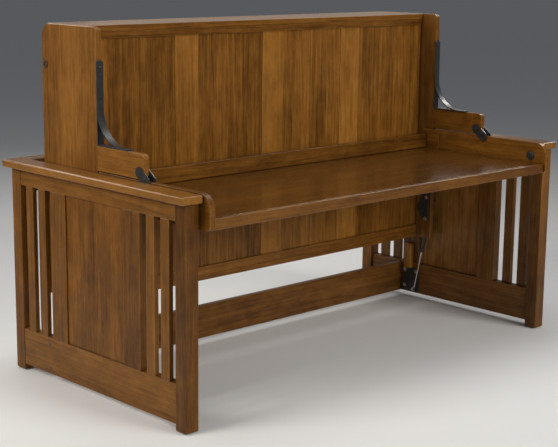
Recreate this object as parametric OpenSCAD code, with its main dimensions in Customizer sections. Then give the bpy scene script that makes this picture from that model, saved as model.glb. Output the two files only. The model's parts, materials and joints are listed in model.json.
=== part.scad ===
// Horizontal desk bed: a single bed stored on its long edge between two
// slatted side frames, with a desk hung from arms on the front of the bed.
// Millimetres. +X is to the right of someone sitting at the desk, the desk
// faces -Y and +Z is up; the floor is z = 0.

/* [Side frames] */
// Half of the width over the posts
half_w = 1052; // [1030:1:1080]
// Depth over the posts
frame_d = 1068; // [1040:1:1100]
// Square section of the posts
post = 58; // [50:1:66]
// Height of the top face of the caps
cap_top = 850; // [820:1:880]
// Thickness of the caps
cap_t = 29; // [22:1:32]
// Inner edge of the side caps from the middle
cap_in = 984; // [983:0.5:988]
// Outer overhang of the side caps
cap_over = 21; // [10:1:30]
// Front overhang of the side caps
cap_front = 11; // [4:1:20]
// Rear overhang of the caps
cap_rear = 37; // [20:1:45]
// Depth of the rear cap
rear_cap_d = 75; // [60:1:80]
// Height of the bottom rail above the floor
rail_z = 28; // [20:1:40]
// Width of the bottom rail
rail_h = 147; // [130:1:160]
// Width of the top rail
top_rail_h = 64; // [50:1:80]
// Thickness of rails and stiles
rail_t = 40; // [32:1:44]
// Width of the slats
slat_w = 46; // [40:1:50]
// Gap between the slats
slat_gap = 36; // [30:1:40]
// Thickness of the slats
slat_t = 20; // [16:1:24]
// Width of the stiles
stile_w = 98; // [90:1:105]
// Thickness of the side panels
panel_t = 19; // [12:1:24]

/* [Cross members] */
// Front face of the low stretcher from the front of the posts
str_y = 820; // [815:1:840]
// Thickness of the low stretcher
str_t = 26; // [20:1:30]
// Bottom edge of the low stretcher
str_z = 26; // [20:1:40]
// Width of the low stretcher
str_h = 144; // [120:1:150]
// Width of the rear rail
rear_rail_h = 100; // [80:1:120]

/* [Bed] */
// Outer face of the bed sides from the middle
bed_x = 978.5; // [977:0.5:979]
// Thickness of the bed sides
bed_t = 24; // [20:0.5:25]
// Front edge of the bed sides
bed_y0 = 599; // [598:1:605]
// Rear edge of the bed sides
bed_y1 = 948; // [930:1:955]
// Bottom edge of the bed sides
bed_z0 = 326; // [322:1:335]
// Top edge of the bed sides
bed_z1 = 1386; // [1375:1:1395]
// Front face of the rails round the boarding
face_y = 684; // [680:1:690]
// Thickness of the top and bottom boards
board_t = 24; // [20:1:26]
// Width of the narrow boards
narrow_w = 118; // [100:1:130]
// Spacing of the narrow boards
narrow_x = 470; // [460:1:480]
// Length of the mattress
mat_l = 1900; // [1880:1:1904]
// Width of the mattress
mat_w = 990; // [980:1:996]
// Thickness of the mattress
mat_t = 200; // [160:1:210]
// Distance of the mattress straps from the middle
strap_x = 480; // [400:1:700]
// Width of the mattress straps
strap_w = 50; // [40:1:60]

/* [Desk] */
// Height of the desk surface
desk_z = 765; // [755:1:770]
// Thickness of the desk top
desk_t = 27; // [22:1:30]
// Front face of the desk edging
desk_y0 = -32; // [-36:1:-28]
// Rear edge of the desk
desk_y1 = 652; // [640:1:656]
// Depth of the front edging
edge_h = 40; // [30:1:42]
// Front end of the desk sides
cheek_y0 = -42; // [-46:1:-38]
// Rear end of the desk sides
cheek_y1 = 594; // [585:1:596]
// Top edge of the desk sides
cheek_z1 = 853; // [850:0.5:853]
// Thickness of the desk sides
cheek_t = 25; // [22:1:25]
// Top edge of the back rail
back_z1 = 829; // [820:1:835]

/* [Arms and pivots] */
// Bed pivot, from the front of the posts
piv_y = 650; // [648:1:652]
// Bed pivot height
piv_z = 470; // [468:1:472]
// Desk pivot, from the front of the posts
arm_y = 345; // [344:1:346]
// Desk pivot height
arm_z = 882; // [881:1:883]
// Lower edge of the arm boards
arm_z0 = 856; // [855:0.5:857]
// Upper edge of the arm boards
arm_z1 = 950; // [940:1:960]
// Distance of the arm end in front of its pivot
arm_nose = 26; // [24:1:26]
// Radius of the bent steel arm
bend_r = 143; // [130:1:150]
// Top end of the steel arm
steel_z1 = 1263; // [1200:1:1280]
// Width of the flat bar of the steel arm
steel_w = 30; // [22:1:30]

/* [Gas springs] */
// Lower pin, from the front of the posts
str_pin_y = 722; // [718:1:726]
// Lower pin height
str_pin_z = 50; // [48:1:52]
// Upper pin from the bed pivot, along Y
top_pin_y = -30; // [-32:1:-28]
// Upper pin from the bed pivot, along Z
top_pin_z = 34; // [32:1:36]
// Middle plane of the gas springs
gas_x = 995; // [994:0.5:996]

/* [Hidden] */
// Middle of the whole object from the front of the posts, moved onto y = 0
y_mid = (cheek_y0 + frame_d + cap_rear) / 2;
post_in = half_w - post;
rail_out = half_w - 2;
rail_in = rail_out - rail_t;
rail_mid = (rail_out + rail_in) / 2;
slat_mid = rail_out - slat_t / 2;
panel_mid = rail_out - 6 - panel_t / 2;
cap_z = cap_top - cap_t;
cap_out = half_w + cap_over;
top_rail_z = cap_z - top_rail_h;
rail_z1 = rail_z + rail_h;
slat_y1 = post + slat_gap;
slat_y2 = slat_y1 + slat_w + slat_gap;
stile_y = slat_y2 + slat_w + slat_gap;
glide_h = 5;
bed_in = bed_x - bed_t;
cheek_in = bed_in - 0.5;
lap_in = cheek_in - 6;
gas_len = sqrt(pow(str_pin_y - piv_y - top_pin_y, 2) + pow(piv_z + top_pin_z - str_pin_z, 2));
gas_a = atan2(str_pin_y - piv_y - top_pin_y, piv_z + top_pin_z - str_pin_z);
wood = [0.45, 0.26, 0.14];
wood_b = [0.50, 0.30, 0.16];
steel = [0.10, 0.10, 0.11];
$fn = 32;

// ---- helpers -------------------------------------------------------------
// a place in the side view, y from the front of the posts
module at(y, z) { translate([0, y - y_mid, z]) children(); }
// the left copy of something drawn on the right
module left() { mirror([1, 0, 0]) children(); }
// what is cut from a square corner to leave a quarter round
module nick(r) { difference() { translate([-1, -1]) square(r + 1); translate([r, r]) circle(r); } }
// rectangle with its own radius at each corner: (0,0), (w,0), (w,h), (0,h)
module plate4(w, h, r1, r2, r3, r4) {
  difference() {
    square([w, h]);
    if (r1 > 0) nick(r1);
    if (r2 > 0) translate([w, 0]) mirror([1, 0]) nick(r2);
    if (r3 > 0) translate([w, h]) rotate(180) nick(r3);
    if (r4 > 0) translate([0, h]) mirror([0, 1]) nick(r4);
  }
}
module plate(w, h, r) { plate4(w, h, r, r, r, r); }
// boards with eased long edges, between two corners, y from the posts' front
module run_x(x0, x1, y0, y1, z0, z1, r = 2) {
  translate([x0, y0 - y_mid, z0]) rotate([90, 0, 90]) linear_extrude(x1 - x0) plate(y1 - y0, z1 - z0, r);
}
module run_y(x0, x1, y0, y1, z0, z1, r = 2) {
  translate([x0, y1 - y_mid, z0]) rotate([90, 0, 0]) linear_extrude(y1 - y0) plate(x1 - x0, z1 - z0, r);
}
module run_z(x0, x1, y0, y1, z0, z1, r = 2) {
  translate([x0, y0 - y_mid, z0]) linear_extrude(z1 - z0) plate(x1 - x0, y1 - y0, r);
}
module box(x0, x1, y0, y1, z0, z1) { translate([x0, y0 - y_mid, z0]) cube([x1 - x0, y1 - y0, z1 - z0]); }
// round bar along X
module rod_x(x0, x1, y, z, d) { translate([x0, y - y_mid, z]) rotate([0, 90, 0]) cylinder(h = x1 - x0, d = d); }

// ---- side frames (drawn on the right) ------------------------------------
// slots that the slats, stiles and panel stand in, in the faces of both rails
module rail_slots(z) {
  c = 0.2;
  for (y = [slat_y1, slat_y2, frame_d - slat_y1 - slat_w, frame_d - slat_y2 - slat_w])
    box(slat_mid - slat_t / 2 - c, slat_mid + slat_t / 2 - 6 + c, y + 2 - c, y + slat_w - 2 + c, z - 10, z + 10);
  for (y = [stile_y, frame_d - stile_y - stile_w])
    box(rail_mid - 8 - c, rail_mid + 8 + c, y + 12 - c, y + stile_w - 12 + c, z - 12, z + 12);
  box(panel_mid - panel_t / 2 - c, panel_mid + panel_t / 2 + c, stile_y + stile_w - 8 - c, frame_d - stile_y - stile_w + 8 + c, z - 9, z + 9);
}
module post_body(y, inner) {
  c = 0.2;
  difference() {
    run_z(post_in, half_w, y, y + post, glide_h, cap_z, 3);
    box(rail_mid - 12 - c, rail_mid + 12 + c, inner - 24, inner + 24, rail_z + 14 - c, rail_z1 - 14 + c);
    box(rail_mid - 12 - c, rail_mid + 12 + c, inner - 24, inner + 24, top_rail_z + 12 - c, cap_z - 12 + c);
    if (y > 0) box(post_in - 1, post_in + 16, y + 24 - c, y + 40 + c, cap_z - rear_rail_h + 12 - c, cap_z - 12 + c);
  }
}
module front_post() { color(wood) post_body(0, post); }
module rear_post() { color(wood) post_body(frame_d - post, frame_d - post); }
module top_rail() {
  color(wood_b) difference() {
    union() {
      run_y(rail_in, rail_out, post, frame_d - post, top_rail_z, cap_z, 2);
      box(rail_mid - 12, rail_mid + 12, post - 22, frame_d - post + 22, top_rail_z + 12, cap_z - 12);
    }
    rail_slots(top_rail_z);
  }
}
module bottom_rail() {
  color(wood_b) difference() {
    union() {
      run_y(rail_in, rail_out, post, frame_d - post, rail_z, rail_z1, 2);
      box(rail_mid - 12, rail_mid + 12, post - 22, frame_d - post + 22, rail_z + 14, rail_z1 - 14);
    }
    rail_slots(rail_z1);
    for (z = [str_z + 26, str_z + str_h - 22]) rod_x(rail_in - 1, rail_out + 1, str_y + str_t / 2, z, 10.2);
  }
}
module stile(y, groove_y) {
  c = 0.2;
  color(wood) difference() {
    union() {
      run_z(rail_in, rail_out, y, y + stile_w, rail_z1, top_rail_z, 2);
      box(rail_mid - 8, rail_mid + 8, y + 12, y + stile_w - 12, rail_z1 - 11, top_rail_z + 11);
    }
    box(panel_mid - panel_t / 2 - c, panel_mid + panel_t / 2 + c, groove_y - 9, groove_y + 9, rail_z1 - 12, top_rail_z + 12);
  }
}
module front_stile() { stile(stile_y, stile_y + stile_w); }
module rear_stile() { stile(frame_d - stile_y - stile_w, frame_d - stile_y - stile_w); }
module slats() {
  color(wood) for (y = [slat_y1, slat_y2, frame_d - slat_y1 - slat_w, frame_d - slat_y2 - slat_w]) union() {
    run_z(slat_mid - slat_t / 2, slat_mid + slat_t / 2, y, y + slat_w, rail_z1, top_rail_z, 2);
    box(slat_mid - slat_t / 2, slat_mid + slat_t / 2 - 6, y + 2, y + slat_w - 2, rail_z1 - 9, top_rail_z + 9);
  }
}
module side_panel() {
  color(wood_b) box(panel_mid - panel_t / 2, panel_mid + panel_t / 2, stile_y + stile_w - 8, frame_d - stile_y - stile_w + 8,
                    rail_z1 - 8, top_rail_z + 8);
}
// cap rounded along its top edges, over its front end and at its corners in plan
module side_cap() {
  len = cap_front + frame_d + cap_rear;
  w = cap_out - cap_in;
  color(wood_b) translate([cap_in, -cap_front - y_mid, cap_z]) intersection() {
    translate([0, len, 0]) rotate([90, 0, 0]) linear_extrude(len) plate4(w, cap_t, 3, 4, 9, 5);
    rotate([90, 0, 90]) linear_extrude(w) plate4(len, cap_t, 4, 4, 9, 10);
    linear_extrude(cap_t) plate4(w, len, 4, 6, 6, 0);
  }
}

// ---- cross members -------------------------------------------------------
module rear_cap() { color(wood_b) run_x(-cap_in, cap_in, frame_d + cap_rear - rear_cap_d, frame_d + cap_rear, cap_z, cap_top, 6); }
module rear_rail() {
  color(wood) union() {
    run_x(-post_in, post_in, frame_d - post + 20, frame_d - post + 44, cap_z - rear_rail_h, cap_z, 2);
    box(-post_in - 15, post_in + 15, frame_d - post + 24, frame_d - post + 40, cap_z - rear_rail_h + 12, cap_z - 12);
  }
}
module low_stretcher() {
  color(wood_b) difference() {
    run_x(-rail_in, rail_in, str_y, str_y + str_t, str_z, str_z + str_h, 3);
    for (z = [str_z + 26, str_z + str_h - 22], s = [-1, 1])
      translate([s * rail_in, 0, 0]) rod_x(-52, 52, str_y + str_t / 2, z, 10.2);
  }
}
module stretcher_bolt(z) { rod_x(rail_in - 50, rail_out + 1, str_y + str_t / 2, z, 10); rod_x(rail_out, rail_out + 1.5, str_y + str_t / 2, z, 13); }
module stretcher_bolts() {
  color(steel) for (z = [str_z + 26, str_z + str_h - 22]) { union() stretcher_bolt(z); left() union() stretcher_bolt(z); }
}
module foot_glides() {
  color(steel) for (s = [-1, 1], y = [post / 2, frame_d - post / 2])
    translate([s * (post_in + post / 2), y - y_mid, 0]) cylinder(h = glide_h, d = 36);
}
module corner_block() { color(wood) translate([rail_in - 25, 742 - y_mid, 152]) rotate([90, 0, 90]) linear_extrude(25) plate4(42, 123, 2, 2, 15, 15); }
module corner_blocks() { corner_block(); left() corner_block(); }

// ---- pivots of the bed ---------------------------------------------------
stop_r = 74;
// plate on the rear stile with the two stops of the bed
module pivot_plate() {
  color(steel) difference() {
    union() {
      translate([rail_in - 5, 622 - y_mid, 388]) rotate([90, 0, 90]) linear_extrude(5) plate(180, 164, 12);
      for (a = [-41.2, 71.2])
        translate([0, stop_r * cos(a), stop_r * sin(a)]) rod_x(985, rail_in - 4, piv_y, piv_z, 16);
    }
    rod_x(rail_in - 10, rail_in + 2, piv_y, piv_z, 16.2);
  }
}
module pivot_plates() { pivot_plate(); left() pivot_plate(); }
module pivot_bolt() {
  union() {
    rod_x(bed_in - 10, rail_in, piv_y, piv_z, 16);
    rod_x(bed_in - 12, bed_in - 4, piv_y, piv_z, 30);
  }
}
module pivot_bolts() { color(steel) { pivot_bolt(); left() pivot_bolt(); } }
// three-cornered plate on the inner face of the bed side
module inner_plate() {
  color(steel) translate([bed_in - 4, -y_mid, 0]) rotate([90, 0, 90]) linear_extrude(4) difference() {
    hull() {
      translate([piv_y, piv_z]) circle(d = 60);
      translate([627, 536]) circle(d = 34);
      translate([629, 431]) circle(d = 34);
    }
    translate([piv_y, piv_z]) circle(d = 16.2);
  }
}
module inner_plates() { inner_plate(); left() inner_plate(); }
// plate on the outer face of the bed side with the spring stud and the stop pin
module stop_plate() {
  color(steel) difference() {
    union() {
      rod_x(bed_x, bed_x + 3, piv_y, piv_z, 60);
      rod_x(bed_x, bed_x + 3, piv_y + top_pin_y, piv_z + top_pin_z, 40);
      rod_x(bed_x, bed_x + 3, piv_y + stop_r * cos(-30), piv_z + stop_r * sin(-30), 30);
      translate([0, 0, 0]) at(piv_y, piv_z) rotate([-30, 0, 0]) translate([bed_x, 0, -13]) cube([3, stop_r, 26]);
      rod_x(bed_x, gas_x - 9.8, piv_y + top_pin_y, piv_z + top_pin_z, 10);
      rod_x(bed_x, rail_in - 9, piv_y + stop_r * cos(-30), piv_z + stop_r * sin(-30), 12);
    }
    rod_x(bed_x - 1, bed_x + 5, piv_y, piv_z, 16.2);
  }
}

module stop_plates() { stop_plate(); left() stop_plate(); }

// ---- bed box -------------------------------------------------------------
module bed_side() {
  color(wood) difference() {
    translate([bed_in, bed_y0 - y_mid, bed_z0]) rotate([90, 0, 90]) linear_extrude(bed_t)
      plate4(bed_y1 - bed_y0, bed_z1 - bed_z0, 8, 8, 50, 22);
    rod_x(bed_in - 1, bed_x + 1, piv_y, piv_z, 16.2);
  }
}
tng = 6;
groove_y0 = face_y + 11;
module bed_top_board() { color(wood_b) run_x(-bed_in, bed_in, face_y - 1, bed_y1, bed_z1 - board_t, bed_z1, 3); }
module bed_bottom_board() { color(wood_b) run_x(-bed_in, bed_in, face_y - 1, bed_y1, bed_z0, bed_z0 + board_t - 1, 3); }
top_rail_b = bed_z1 - board_t - 26;
bot_rail_t = bed_z0 + board_t + 34;
module bed_top_rail() {
  color(wood) difference() {
    run_x(-bed_in, bed_in, face_y, face_y + 26, top_rail_b, bed_z1 - board_t, 1.5);
    box(-bed_in - 1, bed_in + 1, groove_y0 - 0.2, groove_y0 + tng + 0.2, top_rail_b - 1, top_rail_b + 8);
  }
}
module bed_bottom_rail() {
  color(wood) difference() {
    run_x(-bed_in, bed_in, face_y, face_y + 26, bed_z0 + board_t - 1, bot_rail_t, 1.5);
    box(-bed_in - 1, bed_in + 1, groove_y0 - 0.2, groove_y0 + tng + 0.2, bot_rail_t - 8, bot_rail_t + 1);
  }
}
// wide boards with tongues all round except against the bed sides
module bed_panel(x0, x1, tl, tr) {
  color(wood_b) union() {
    run_z(x0, x1, face_y + 8, face_y + 22, bot_rail_t, top_rail_b, 1.5);
    box(x0 - tl, x1 + tr, groove_y0, groove_y0 + tng, bot_rail_t, top_rail_b);
    box(x0 + 2, x1 - 2, groove_y0, groove_y0 + tng, bot_rail_t - 7, top_rail_b + 7);
  }
}
module bed_narrow(xm) {
  color(wood) difference() {
    union() {
      run_z(xm - narrow_w / 2, xm + narrow_w / 2, face_y + 6, face_y + 26, bot_rail_t, top_rail_b, 1.5);
      box(xm - narrow_w / 2 + 2, xm + narrow_w / 2 - 2, groove_y0, groove_y0 + tng, bot_rail_t - 7, top_rail_b + 7);
    }
    for (s = [-1, 1]) translate([xm + s * narrow_w / 2, 0, 0])
      box(-7, 7, groove_y0 - 0.2, groove_y0 + tng + 0.2, bot_rail_t - 9, top_rail_b + 9);
  }
}
module mattress() {
  color([0.85, 0.83, 0.78]) translate([-mat_l / 2, face_y + 28 + mat_t - y_mid, (bed_z0 + bed_z1 - mat_w) / 2]) rotate([90, 0, 0])
    linear_extrude(mat_t) plate(mat_l, mat_w, 50);
}
// webbing across the rear face of the mattress, from board to board
module mattress_straps() {
  strap_y = face_y + 28 + mat_t + 1;
  color([0.12, 0.12, 0.13]) for (x = [-strap_x - strap_w / 2, strap_x - strap_w / 2])
    box(x, x + strap_w, strap_y, strap_y + 2.5, bed_z0 + board_t - 1, bed_z1 - board_t);
}

// ---- arms that carry the desk --------------------------------------------
// board with a low upright batten on its inner face
module arm_board() {
  y0 = arm_y - arm_nose;
  color(wood) difference() {
    union() {
      translate([bed_in, y0 - y_mid, arm_z]) rotate([90, 0, 90]) linear_extrude(bed_t)
        plate4(bed_y0 - y0, arm_z1 - arm_z, 0, 0, 0, 20);
      box(bed_in, bed_x, arm_y, bed_y0, arm_z0, arm_z + 1);
      rod_x(bed_in, bed_x, arm_y, arm_z, 2 * (arm_z - arm_z0));
      box(bed_in - 2.5, bed_in + 1, arm_y + 24.5, arm_y + 60.5, arm_z0 + 2, arm_z1 - 1);
    }
    rod_x(bed_in - 1, bed_x + 1, arm_y, arm_z, 12.2);
  }
}
// flat bar up the front edge of the bed and along the top of the arm board,
// with a bent brace across the corner
module steel_arm() {
  cy = bed_y0 - bend_r;
  cz = arm_z1 + bend_r;
  x1 = bed_x + 0.5;
  x0 = x1 - steel_w;
  color(steel) union() {
    box(x0, x1, bed_y0 - 5, bed_y0, arm_z1, steel_z1);
    box(x0, x1, cy - 41, bed_y0, arm_z1, arm_z1 + 5);
    translate([x0, cy - y_mid, cz]) rotate([90, 0, 90]) linear_extrude(x1 - x0) intersection() {
      difference() { circle(bend_r, $fn = 96); circle(bend_r - 5, $fn = 96); }
      translate([0, -bend_r - 1]) square(bend_r + 1);
    }
  }
}

// ---- desk ----------------------------------------------------------------
module desk_top() {
  color(wood_b) difference() {
    union() {
      box(-cheek_in - 6, cheek_in + 6, desk_y0 + 20, cheek_y1 - 8, desk_z - desk_t, desk_z);
      run_x(-lap_in, lap_in, cheek_y1 - 20, desk_y1, desk_z - desk_t, desk_z, 3);
      box(-lap_in, lap_in, cheek_y1 - 20, cheek_y1, desk_z - desk_t, desk_z);
    }
  }
}
module desk_edge() {
  color(wood) translate([-cheek_in, desk_y0 - y_mid, desk_z - edge_h]) rotate([90, 0, 90]) linear_extrude(2 * cheek_in)
    plate4(20, edge_h, 3, 0, 0, 4);
}
// board with a thinner end that runs on between the bed sides to the back rail
module desk_side() {
  color(wood_b) union() {
    difference() {
      translate([cheek_in, cheek_y0 - y_mid, desk_z - edge_h]) rotate([90, 0, 90]) linear_extrude(cheek_t)
        plate4(cheek_y1 - cheek_y0, cheek_z1 - desk_z + edge_h, 16, 2, 4, 58);
      box(cheek_in - 1, cheek_in + 6.2, desk_y0 + 19.8, cheek_y1 - 7.8, desk_z - desk_t - 0.2, desk_z + 0.2);
    }
    box(lap_in, cheek_in + 2, cheek_y1 - 34, cheek_y1 - 5, desk_z + 4, cheek_z1 - 5);
    box(lap_in, cheek_in, cheek_y1 - 34, desk_y1, desk_z + 0.2, cheek_z1 - 1);
    box(lap_in, cheek_in, cheek_y1 - 7.4, desk_y1, desk_z - desk_t, desk_z + 2);
  }
}
module desk_back_rail() { color(wood) run_x(-lap_in, lap_in, desk_y1 - 20, desk_y1, desk_z, back_z1, 3); }
leaf_l = 53;
// leaf that slopes down and forward from the desk pivot to the desk side
module leaf(x, t) {
  translate([x, arm_y - y_mid, arm_z]) rotate([90, 0, 90]) linear_extrude(t) rotate(216.95) union() {
    circle(21);
    translate([leaf_l, 0]) circle(21);
    translate([0, -20.8]) square([leaf_l, 41.6]);
  }
}
// two leaves on the desk side with the pin that the arm board turns on
module clamp() {
  color(steel) union() {
    leaf(cheek_in - 5, 5);
    leaf(cheek_in + cheek_t, 3);
    rod_x(cheek_in - 2, cheek_in + cheek_t + 2, arm_y, arm_z, 12);
    rod_x(cheek_in - 12, cheek_in - 4, arm_y, arm_z, 26);
    rod_x(cheek_in + cheek_t + 2, cheek_in + cheek_t + 4.2, arm_y, arm_z, 22);
  }
}
module desk_bolt() {
  translate([cheek_in, 40 - y_mid, 794]) rotate([0, -90, 0]) union() {
    cylinder(h = 3, d = 40);
    cylinder(h = 9, d1 = 36, d2 = 26);
  }
}
module desk_bolts() { color(steel) { desk_bolt(); left() desk_bolt(); } }

// ---- gas springs ---------------------------------------------------------
// plate on the bottom rail with the lower pin
module gas_bracket() {
  color(steel) union() {
    translate([rail_in - 6, 706 - y_mid, 32]) rotate([90, 0, 90]) linear_extrude(6) plate(100, 118, 8);
    rod_x(gas_x - 11, rail_in - 5, str_pin_y, str_pin_z, 10);
    rod_x(gas_x - 11, gas_x - 7.5, str_pin_y, str_pin_z, 16);
  }
}
module gas_brackets() { gas_bracket(); left() gas_bracket(); }
// everything along a gas spring is drawn upright from the lower pin
module along_gas() { translate([gas_x, str_pin_y - y_mid, str_pin_z]) rotate([gas_a, 0, 0]) children(); }
module gas_rod() {
  color([0.7, 0.7, 0.72]) along_gas() difference() {
    union() {
      translate([0, 0, 6]) cylinder(h = 304, d = 8);
      translate([-7, 0, 0]) rotate([0, 90, 0]) cylinder(h = 14, d = 18);
    }
    translate([-8, 0, 0]) rotate([0, 90, 0]) cylinder(h = 16, d = 10.2);
  }
}
module gas_tube() {
  color(steel) along_gas() difference() {
    union() {
      translate([0, 0, 200]) cylinder(h = gas_len - 212, d = 16);
      translate([0, 0, gas_len - 14]) cylinder(h = 12, d = 8);
      translate([-9, 0, gas_len]) rotate([0, 90, 0]) cylinder(h = 18, d = 18);
    }
    translate([0, 0, 199]) cylinder(h = 20, d = 8.4);
    translate([0, 0, 206]) cylinder(h = gas_len - 230, d = 12);
    translate([-10, 0, gas_len]) rotate([0, 90, 0]) cylinder(h = 20, d = 8);
  }
}

left() front_post();  // front_post_left
front_post();  // front_post_right
left() rear_post();  // rear_post_left
rear_post();  // rear_post_right
left() top_rail();  // top_rail_left
top_rail();  // top_rail_right
left() bottom_rail();  // bottom_rail_left
bottom_rail();  // bottom_rail_right
left() front_stile();  // front_stile_left
front_stile();  // front_stile_right
left() rear_stile();  // rear_stile_left
rear_stile();  // rear_stile_right
left() slats();  // slats_left
slats();  // slats_right
left() side_panel();  // side_panel_left
side_panel();  // side_panel_right
left() side_cap();  // cap_left
side_cap();  // cap_right
rear_cap();
rear_rail();
low_stretcher();
stretcher_bolts();
foot_glides();
pivot_plates();
gas_brackets();
corner_blocks();
left() bed_side();  // bed_side_left
bed_side();  // bed_side_right
bed_top_board();
bed_top_rail();
bed_bottom_board();
bed_bottom_rail();
bed_panel(-bed_in, -narrow_x - narrow_w / 2, 0, tng);  // bed_panel_1
bed_panel(-narrow_x + narrow_w / 2, -narrow_w / 2, tng, tng);  // bed_panel_2
bed_panel(narrow_w / 2, narrow_x - narrow_w / 2, tng, tng);  // bed_panel_3
bed_panel(narrow_x + narrow_w / 2, bed_in, tng, 0);  // bed_panel_4
bed_narrow(-narrow_x);  // bed_narrow_1
bed_narrow(0);  // bed_narrow_2
bed_narrow(narrow_x);  // bed_narrow_3
mattress();
mattress_straps();
left() arm_board();  // arm_board_left
arm_board();  // arm_board_right
left() steel_arm();  // steel_arm_left
steel_arm();  // steel_arm_right
pivot_bolts();
inner_plates();
stop_plates();
desk_top();
desk_edge();
left() desk_side();  // desk_side_left
desk_side();  // desk_side_right
desk_back_rail();
left() clamp();  // clamp_left
clamp();  // clamp_right
desk_bolts();
left() gas_rod();  // gas_rod_left
gas_rod();  // gas_rod_right
left() gas_tube();  // gas_tube_left
gas_tube();  // gas_tube_right
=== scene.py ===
import bpy, bmesh, json, math, random
from mathutils import Matrix, Vector

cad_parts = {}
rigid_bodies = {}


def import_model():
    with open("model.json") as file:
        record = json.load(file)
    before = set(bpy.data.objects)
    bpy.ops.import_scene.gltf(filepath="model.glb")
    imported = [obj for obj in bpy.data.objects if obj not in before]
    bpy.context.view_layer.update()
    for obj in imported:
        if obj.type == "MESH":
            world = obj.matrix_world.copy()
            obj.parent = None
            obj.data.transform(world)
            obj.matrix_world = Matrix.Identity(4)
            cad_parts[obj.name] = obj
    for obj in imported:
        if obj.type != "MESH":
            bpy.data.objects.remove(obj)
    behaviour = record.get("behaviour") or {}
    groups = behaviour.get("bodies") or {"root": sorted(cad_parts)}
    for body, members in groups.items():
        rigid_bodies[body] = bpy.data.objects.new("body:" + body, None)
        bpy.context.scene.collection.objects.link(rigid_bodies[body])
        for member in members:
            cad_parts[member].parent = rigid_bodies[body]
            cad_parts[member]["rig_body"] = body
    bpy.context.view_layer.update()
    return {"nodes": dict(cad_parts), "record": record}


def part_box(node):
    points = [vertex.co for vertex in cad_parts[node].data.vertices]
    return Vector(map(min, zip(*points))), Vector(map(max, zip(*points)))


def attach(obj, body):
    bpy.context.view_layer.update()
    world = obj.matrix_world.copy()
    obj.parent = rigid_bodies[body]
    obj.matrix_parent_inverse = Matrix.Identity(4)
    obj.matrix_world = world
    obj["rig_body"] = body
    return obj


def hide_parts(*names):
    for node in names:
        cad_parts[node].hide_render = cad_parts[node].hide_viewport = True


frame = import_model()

NODES = frame["nodes"]
BODY = {n: o["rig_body"] for n, o in NODES.items()}
SLOT = {s["node"]: s["material_slot"] for s in frame["record"]["subparts"]}
scene = bpy.context.scene

# ---- camera -----------------------------------------------------------------
def camera():
    yaw, pit, rol = (math.radians(a) for a in (43.7538, 11.4766, 0.6437))
    f = Vector((math.sin(yaw) * math.cos(pit), math.cos(yaw) * math.cos(pit), -math.sin(pit)))
    r = Vector((math.cos(yaw), -math.sin(yaw), 0.0))
    u = r.cross(f)
    right = r * math.cos(rol) + u * math.sin(rol)
    up = u * math.cos(rol) - r * math.sin(rol)
    cam = bpy.data.cameras.new("camera")
    cam.sensor_fit = "HORIZONTAL"
    cam.sensor_width = 36.0
    cam.lens = 1345.23 / 558 * 36.0
    cam.clip_end = 200
    obj = bpy.data.objects.new("camera", cam)
    m = Matrix((right, up, -f)).transposed().to_4x4()
    m.translation = Vector((-3.90649, -3.96988, 1.66737))
    obj.matrix_world = m
    scene.collection.objects.link(obj)
    scene.camera = obj
camera()

# ---- node tree helper ---------------------------------------------------------
class Tree:
    def __init__(self, name):
        self.mat = bpy.data.materials.new(name)
        self.mat.use_nodes = True
        self.t = self.mat.node_tree
        self.t.nodes.clear()
        self.out = self.t.nodes.new("ShaderNodeOutputMaterial")
        self.bsdf = self.t.nodes.new("ShaderNodeBsdfPrincipled")
        self.t.links.new(self.bsdf.outputs[0], self.out.inputs[0])

    def put(self, sock, v):
        if isinstance(v, bpy.types.NodeSocket):
            self.t.links.new(v, sock)
        else:
            sock.default_value = v

    def node(self, kind, out=0, props=None, **ins):
        n = self.t.nodes.new("ShaderNode" + kind)
        for k, v in (props or {}).items():
            setattr(n, k, v)
        for k, v in ins.items():
            key = k.replace("_", " ")
            self.put(n.inputs[int(k[1:])] if k[0] == "i" and k[1:].isdigit() else n.inputs[key], v)
        return n.outputs[out]

    def m(self, op, a, b=0.0, c=0.0, clamp=False):
        return self.node("Math", 0, {"operation": op, "use_clamp": clamp}, i0=a, i1=b, i2=c)

    def v(self, op, a, b=(0.0, 0.0, 0.0)):
        out = 1 if op in ("LENGTH", "DISTANCE", "DOT_PRODUCT") else 0
        return self.node("VectorMath", out, {"operation": op}, i0=a, i1=b)

    def attr(self, name, out=1):
        return self.node("Attribute", out, {"attribute_name": name})

    def noise(self, vec, scale, detail=3.0, rough=0.5, out=0, dist=0.0):
        return self.node("TexNoise", out, Vector=vec, Scale=scale, Detail=detail, Roughness=rough, Distortion=dist)

    def remap(self, v, a, b, c=0.0, d=1.0, smooth=False):
        return self.node("MapRange", 0, {"interpolation_type": "SMOOTHSTEP" if smooth else "LINEAR", "clamp": True},
                         Value=v, From_Min=a, From_Max=b, To_Min=c, To_Max=d)

    def ramp(self, fac, stops):
        n = self.t.nodes.new("ShaderNodeValToRGB")
        e = n.color_ramp.elements
        while len(e) < len(stops):
            e.new(0.5)
        for i, (p, col) in enumerate(stops):
            e[i].position = p
            e[i].color = (*col, 1.0)
        self.put(n.inputs[0], fac)
        return n.outputs[0]

    def set(self, **ins):
        for k, v in ins.items():
            self.put(self.bsdf.inputs[k.replace("_", " ")], v)
        return self.mat

    def bump(self, height, strength, distance, normal=None):
        n = self.t.nodes.new("ShaderNodeBump")
        n.inputs["Strength"].default_value = strength
        n.inputs["Distance"].default_value = distance
        self.put(n.inputs["Height"], height)
        if normal is not None:
            self.put(n.inputs["Normal"], normal)
        self.put(self.bsdf.inputs["Normal"], n.outputs[0])

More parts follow.
